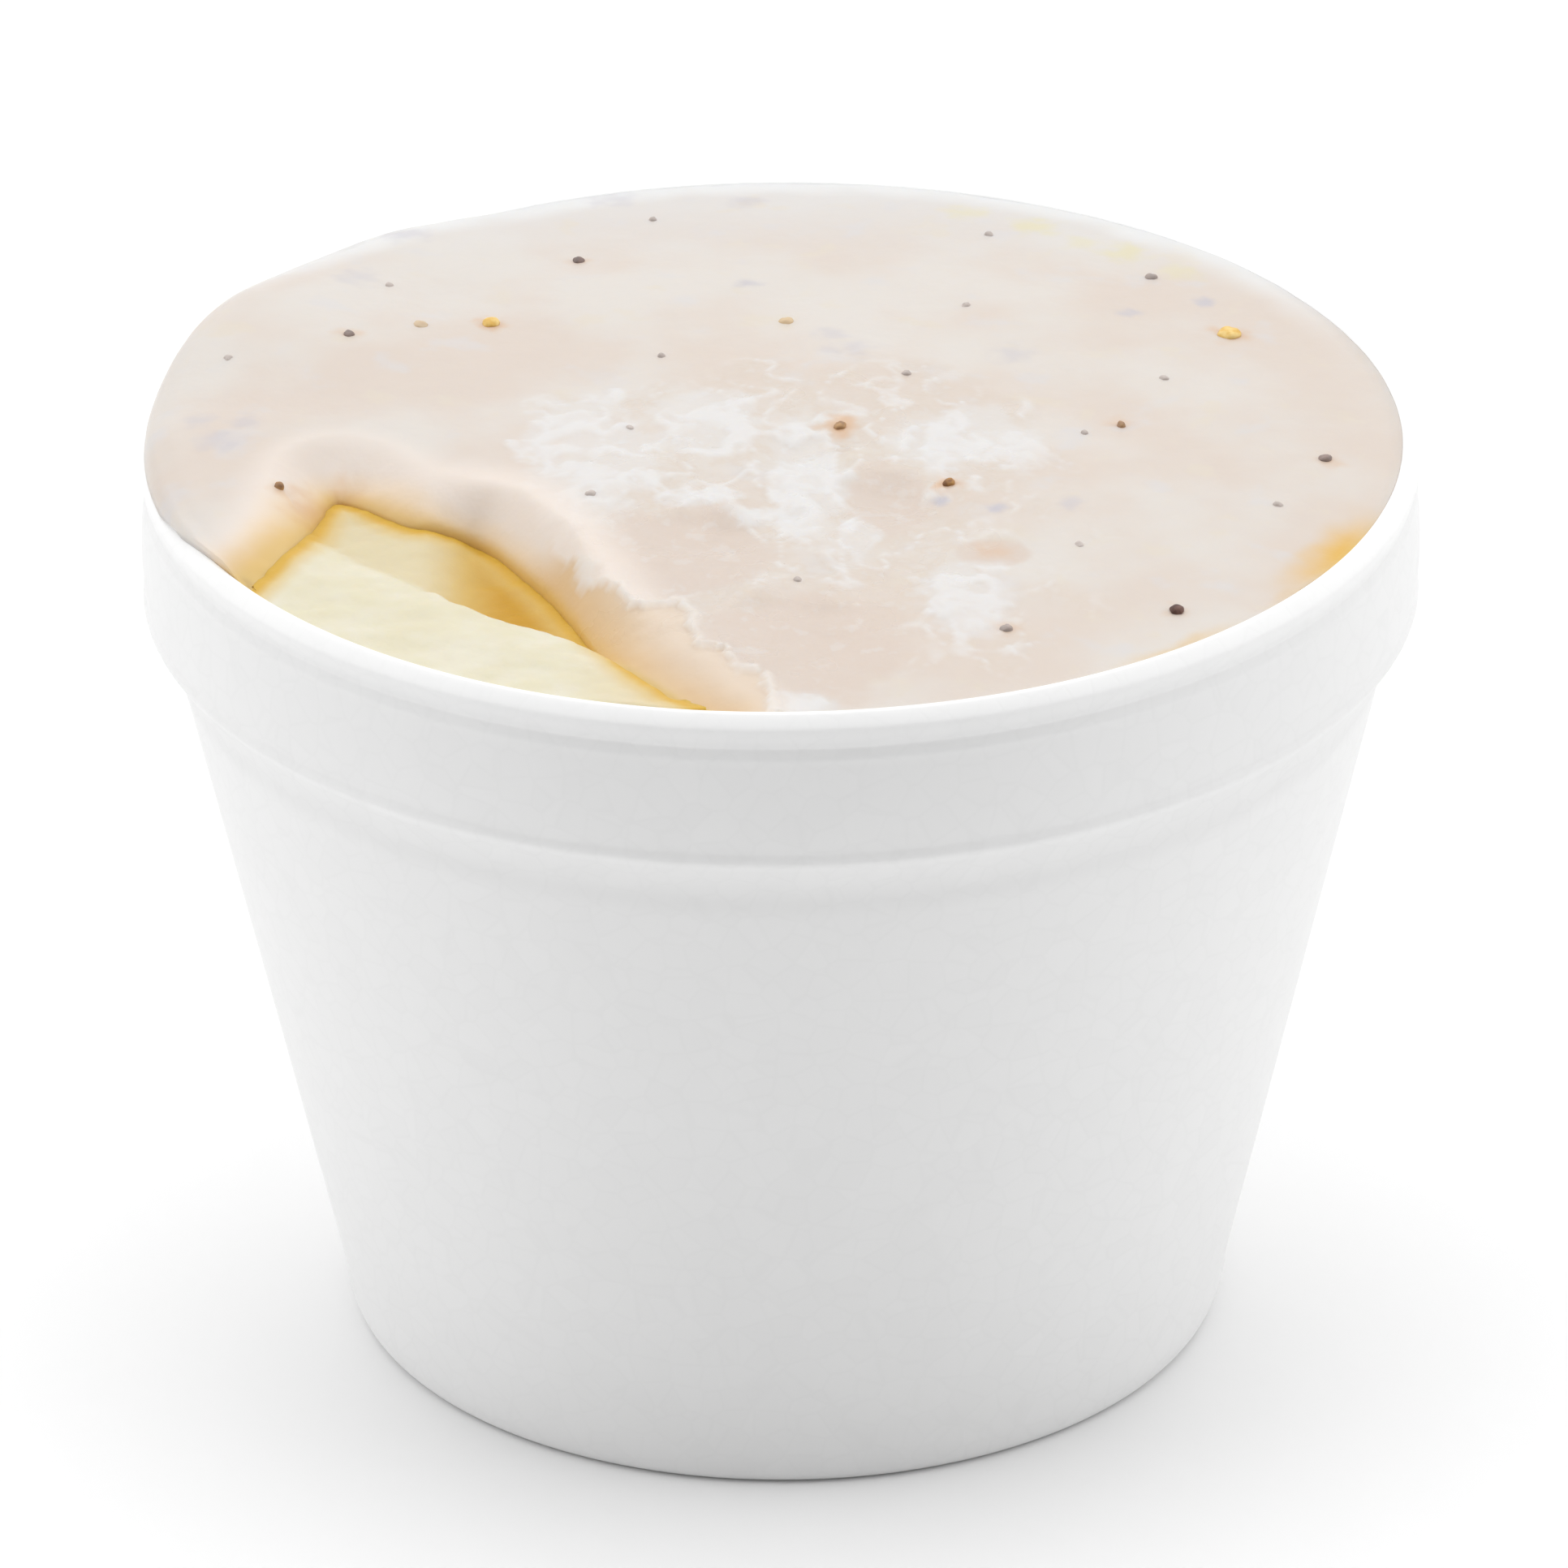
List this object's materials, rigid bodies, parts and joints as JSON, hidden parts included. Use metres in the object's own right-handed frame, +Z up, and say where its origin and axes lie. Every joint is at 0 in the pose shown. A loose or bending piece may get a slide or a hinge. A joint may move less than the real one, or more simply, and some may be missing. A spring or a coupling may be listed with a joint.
{
  "type": "mashed potato side",
  "caption": "Squat round foam cup heaped with mashed potato under a thick pepper gravy, with the potato bare at one side of the rim.",
  "frame": {"origin": "centre of the cup's foot, on the surface it stands on", "axes": "+Z up, the cup's axis; the opening in the gravy faces -X and -Y"},
  "size_m": [0.09, 0.09, 0.0698],
  "materials": {
    "foam": "white expanded foam, fine beads under a satin skin",
    "potato": "smooth moist mashed potato, cream yellow",
    "gravy": "thick white gravy with a soft gloss, dotted with pepper"
  },
  "bodies": {
    "root": {"foam_cup": "foam", "mashed_potato": "potato", "pepper_gravy": "gravy"}
  },
  "joints": []
}
